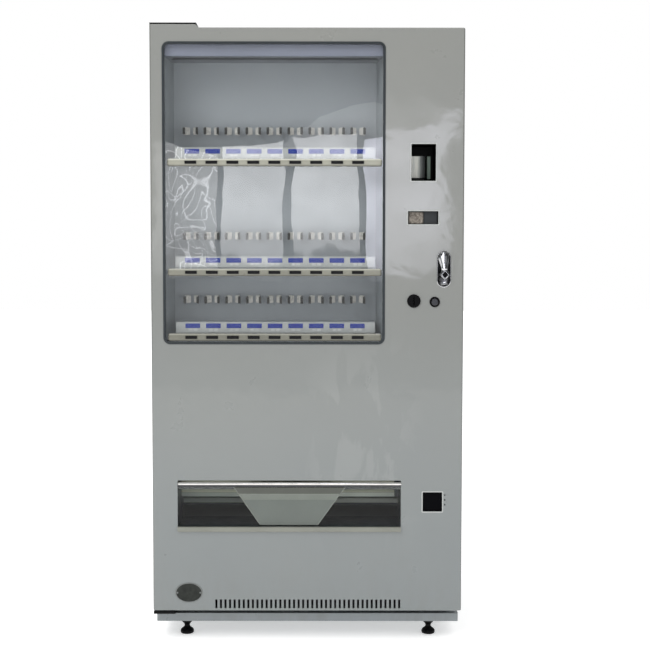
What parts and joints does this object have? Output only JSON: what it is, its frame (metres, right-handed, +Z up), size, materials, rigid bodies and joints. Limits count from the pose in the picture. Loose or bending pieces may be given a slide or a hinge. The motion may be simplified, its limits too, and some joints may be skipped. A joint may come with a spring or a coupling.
{
  "type": "vending machine",
  "caption": "Free-standing vending machine with a hinged display door, selection buttons on rails, lock handle, coin parts and a flap over the pick-up bin.",
  "frame": {"origin": "on the floor under the middle of the machine's box", "axes": "+Z up, -Y out of the front of the door, +X to the right as seen from the front"},
  "size_m": [0.926, 0.76, 1.8435],
  "materials": {
    "door_paint": "gloss enamel",
    "inner_steel": "satin",
    "black_rubber": "matt",
    "grey_rubber": "matt",
    "clear_pane": "polished",
    "liner_grey": "satin",
    "card_blue": "gloss",
    "lamp_white": "satin",
    "chrome_spring": "polished",
    "ivory_rail": "satin",
    "zinc_steel": "satin",
    "black_plastic": "satin",
    "black_gloss": "gloss",
    "mech_plastic": "satin",
    "bright_chrome": "polished",
    "ivory_frame": "satin",
    "clear_flap": "polished",
    "plate_aluminium": "satin",
    "cabinet_panel": "gloss enamel over insulated panel",
    "base_paint": "satin",
    "black_metal": "satin",
    "cooling_metal": "satin",
    "button_black": "gloss"
  },
  "bodies": {
    "cabinet": {"cabinet_shell": "cabinet_panel", "base_frame": "base_paint", "levelling_feet": "black_metal", "hinge_brackets": "black_metal", "rear_grille": "inner_steel", "product_rack": "zinc_steel", "delivery_chute": "zinc_steel", "cooling_unit": "cooling_metal"},
    "door": {"door_skin": "door_paint", "door_back_cover": "inner_steel", "door_seal": "black_rubber", "window_gasket": "grey_rubber", "window_pane": "clear_pane", "display_liner": "liner_grey", "price_cards": "card_blue", "lamp_unit": "lamp_white", "sample_clips": "chrome_spring", "selection_rails": "ivory_rail", "bill_acceptor": "zinc_steel", "credit_display": "black_plastic", "coin_bezels": "black_gloss", "coin_mechanism": "mech_plastic", "coin_return_cup": "black_plastic", "handle_dish": "bright_chrome", "pickup_frame": "ivory_frame", "nameplate": "plate_aluminium"},
    "spindle": {"handle_spindle": "zinc_steel"},
    "lever": {"handle_lever": "bright_chrome"},
    "lock": {"lock_plug": "zinc_steel"},
    "return_push": {"return_button": "bright_chrome"},
    "bin_flap": {"pickup_flap": "clear_flap"},
    "refund_flap": {"coin_return_flap": "black_plastic"},
    "fan": {"condenser_fan": "black_plastic"},
    "button_top_1_body": {"button_top_1": "button_black"},
    "button_top_2_body": {"button_top_2": "button_black"},
    "button_top_3_body": {"button_top_3": "button_black"},
    "button_top_4_body": {"button_top_4": "button_black"},
    "button_top_5_body": {"button_top_5": "button_black"},
    "button_top_6_body": {"button_top_6": "button_black"},
    "button_top_7_body": {"button_top_7": "button_black"},
    "button_top_8_body": {"button_top_8": "button_black"},
    "button_top_9_body": {"button_top_9": "button_black"},
    "button_middle_1_body": {"button_middle_1": "button_black"},
    "button_middle_2_body": {"button_middle_2": "button_black"},
    "button_middle_3_body": {"button_middle_3": "button_black"},
    "button_middle_4_body": {"button_middle_4": "button_black"},
    "button_middle_5_body": {"button_middle_5": "button_black"},
    "button_middle_6_body": {"button_middle_6": "button_black"},
    "button_middle_7_body": {"button_middle_7": "button_black"},
    "button_middle_8_body": {"button_middle_8": "button_black"},
    "button_middle_9_body": {"button_middle_9": "button_black"},
    "button_bottom_1_body": {"button_bottom_1": "button_black"},
    "button_bottom_2_body": {"button_bottom_2": "button_black"},
    "button_bottom_3_body": {"button_bottom_3": "button_black"},
    "button_bottom_4_body": {"button_bottom_4": "button_black"},
    "button_bottom_5_body": {"button_bottom_5": "button_black"},
    "button_bottom_6_body": {"button_bottom_6": "button_black"},
    "button_bottom_7_body": {"button_bottom_7": "button_black"},
    "button_bottom_8_body": {"button_bottom_8": "button_black"},
    "button_bottom_9_body": {"button_bottom_9": "button_black"}
  },
  "joints": [
    {"name": "main_door", "type": "hinge", "parent": "cabinet", "child": "door", "pos_m": [-0.44, -0.334, 0.96], "axis": [0, 0, -1], "range_deg": [0, 110]},
    {"name": "handle_swing", "type": "hinge", "parent": "door", "child": "spindle", "pos_m": [0.4065, -0.362, 1.1067], "axis": [0, -1, 0], "range_deg": [0, 90]},
    {"name": "handle_pop", "type": "hinge", "parent": "spindle", "child": "lever", "pos_m": [0.4065, -0.358, 1.1067], "axis": [1, 0, 0], "range_deg": [0, 18]},
    {"name": "lock_turn", "type": "hinge", "parent": "lever", "child": "lock", "pos_m": [0.4065, -0.374, 1.1067], "axis": [0, 1, 0], "range_deg": [0, 90]},
    {"name": "return_button_push", "type": "slide", "parent": "door", "child": "return_push", "axis": [0, 1, 0], "range_m": [0, 0.004], "stiffness_N_per_m": 400, "springref_m": -0.003},
    {"name": "pickup_flap_swing", "type": "hinge", "parent": "door", "child": "bin_flap", "pos_m": [-0.054, -0.355, 0.4767], "axis": [1, 0, 0], "range_deg": [0, 50]},
    {"name": "coin_return_flap_swing", "type": "hinge", "parent": "door", "child": "refund_flap", "pos_m": [0.3745, -0.355, 0.4535], "axis": [1, 0, 0], "range_deg": [0, 45]},
    {"name": "fan_spin", "type": "hinge", "parent": "cabinet", "child": "fan", "pos_m": [0.15, -0.1, 0.188], "axis": [0, 1, 0], "continuous": true},
    {"name": "button_top_1_push", "type": "slide", "parent": "door", "child": "button_top_1_body", "axis": [0, 1, 0], "range_m": [0, 0.0025], "stiffness_N_per_m": 300, "springref_m": -0.002},
    {"name": "button_top_2_push", "type": "slide", "parent": "door", "child": "button_top_2_body", "axis": [0, 1, 0], "range_m": [0, 0.0025], "stiffness_N_per_m": 300, "springref_m": -0.002},
    {"name": "button_top_3_push", "type": "slide", "parent": "door", "child": "button_top_3_body", "axis": [0, 1, 0], "range_m": [0, 0.0025], "stiffness_N_per_m": 300, "springref_m": -0.002},
    {"name": "button_top_4_push", "type": "slide", "parent": "door", "child": "button_top_4_body", "axis": [0, 1, 0], "range_m": [0, 0.0025], "stiffness_N_per_m": 300, "springref_m": -0.002},
    {"name": "button_top_5_push", "type": "slide", "parent": "door", "child": "button_top_5_body", "axis": [0, 1, 0], "range_m": [0, 0.0025], "stiffness_N_per_m": 300, "springref_m": -0.002},
    {"name": "button_top_6_push", "type": "slide", "parent": "door", "child": "button_top_6_body", "axis": [0, 1, 0], "range_m": [0, 0.0025], "stiffness_N_per_m": 300, "springref_m": -0.002},
    {"name": "button_top_7_push", "type": "slide", "parent": "door", "child": "button_top_7_body", "axis": [0, 1, 0], "range_m": [0, 0.0025], "stiffness_N_per_m": 300, "springref_m": -0.002},
    {"name": "button_top_8_push", "type": "slide", "parent": "door", "child": "button_top_8_body", "axis": [0, 1, 0], "range_m": [0, 0.0025], "stiffness_N_per_m": 300, "springref_m": -0.002},
    {"name": "button_top_9_push", "type": "slide", "parent": "door", "child": "button_top_9_body", "axis": [0, 1, 0], "range_m": [0, 0.0025], "stiffness_N_per_m": 300, "springref_m": -0.002},
    {"name": "button_middle_1_push", "type": "slide", "parent": "door", "child": "button_middle_1_body", "axis": [0, 1, 0], "range_m": [0, 0.0025], "stiffness_N_per_m": 300, "springref_m": -0.002},
    {"name": "button_middle_2_push", "type": "slide", "parent": "door", "child": "button_middle_2_body", "axis": [0, 1, 0], "range_m": [0, 0.0025], "stiffness_N_per_m": 300, "springref_m": -0.002},
    {"name": "button_middle_3_push", "type": "slide", "parent": "door", "child": "button_middle_3_body", "axis": [0, 1, 0], "range_m": [0, 0.0025], "stiffness_N_per_m": 300, "springref_m": -0.002},
    {"name": "button_middle_4_push", "type": "slide", "parent": "door", "child": "button_middle_4_body", "axis": [0, 1, 0], "range_m": [0, 0.0025], "stiffness_N_per_m": 300, "springref_m": -0.002},
    {"name": "button_middle_5_push", "type": "slide", "parent": "door", "child": "button_middle_5_body", "axis": [0, 1, 0], "range_m": [0, 0.0025], "stiffness_N_per_m": 300, "springref_m": -0.002},
    {"name": "button_middle_6_push", "type": "slide", "parent": "door", "child": "button_middle_6_body", "axis": [0, 1, 0], "range_m": [0, 0.0025], "stiffness_N_per_m": 300, "springref_m": -0.002},
    {"name": "button_middle_7_push", "type": "slide", "parent": "door", "child": "button_middle_7_body", "axis": [0, 1, 0], "range_m": [0, 0.0025], "stiffness_N_per_m": 300, "springref_m": -0.002},
    {"name": "button_middle_8_push", "type": "slide", "parent": "door", "child": "button_middle_8_body", "axis": [0, 1, 0], "range_m": [0, 0.0025], "stiffness_N_per_m": 300, "springref_m": -0.002},
    {"name": "button_middle_9_push", "type": "slide", "parent": "door", "child": "button_middle_9_body", "axis": [0, 1, 0], "range_m": [0, 0.0025], "stiffness_N_per_m": 300, "springref_m": -0.002},
    {"name": "button_bottom_1_push", "type": "slide", "parent": "door", "child": "button_bottom_1_body", "axis": [0, 1, 0], "range_m": [0, 0.0025], "stiffness_N_per_m": 300, "springref_m": -0.002},
    {"name": "button_bottom_2_push", "type": "slide", "parent": "door", "child": "button_bottom_2_body", "axis": [0, 1, 0], "range_m": [0, 0.0025], "stiffness_N_per_m": 300, "springref_m": -0.002},
    {"name": "button_bottom_3_push", "type": "slide", "parent": "door", "child": "button_bottom_3_body", "axis": [0, 1, 0], "range_m": [0, 0.0025], "stiffness_N_per_m": 300, "springref_m": -0.002},
    {"name": "button_bottom_4_push", "type": "slide", "parent": "door", "child": "button_bottom_4_body", "axis": [0, 1, 0], "range_m": [0, 0.0025], "stiffness_N_per_m": 300, "springref_m": -0.002},
    {"name": "button_bottom_5_push", "type": "slide", "parent": "door", "child": "button_bottom_5_body", "axis": [0, 1, 0], "range_m": [0, 0.0025], "stiffness_N_per_m": 300, "springref_m": -0.002},
    {"name": "button_bottom_6_push", "type": "slide", "parent": "door", "child": "button_bottom_6_body", "axis": [0, 1, 0], "range_m": [0, 0.0025], "stiffness_N_per_m": 300, "springref_m": -0.002},
    {"name": "button_bottom_7_push", "type": "slide", "parent": "door", "child": "button_bottom_7_body", "axis": [0, 1, 0], "range_m": [0, 0.0025], "stiffness_N_per_m": 300, "springref_m": -0.002},
    {"name": "button_bottom_8_push", "type": "slide", "parent": "door", "child": "button_bottom_8_body", "axis": [0, 1, 0], "range_m": [0, 0.0025], "stiffness_N_per_m": 300, "springref_m": -0.002},
    {"name": "button_bottom_9_push", "type": "slide", "parent": "door", "child": "button_bottom_9_body", "axis": [0, 1, 0], "range_m": [0, 0.0025], "stiffness_N_per_m": 300, "springref_m": -0.002}
  ]
}
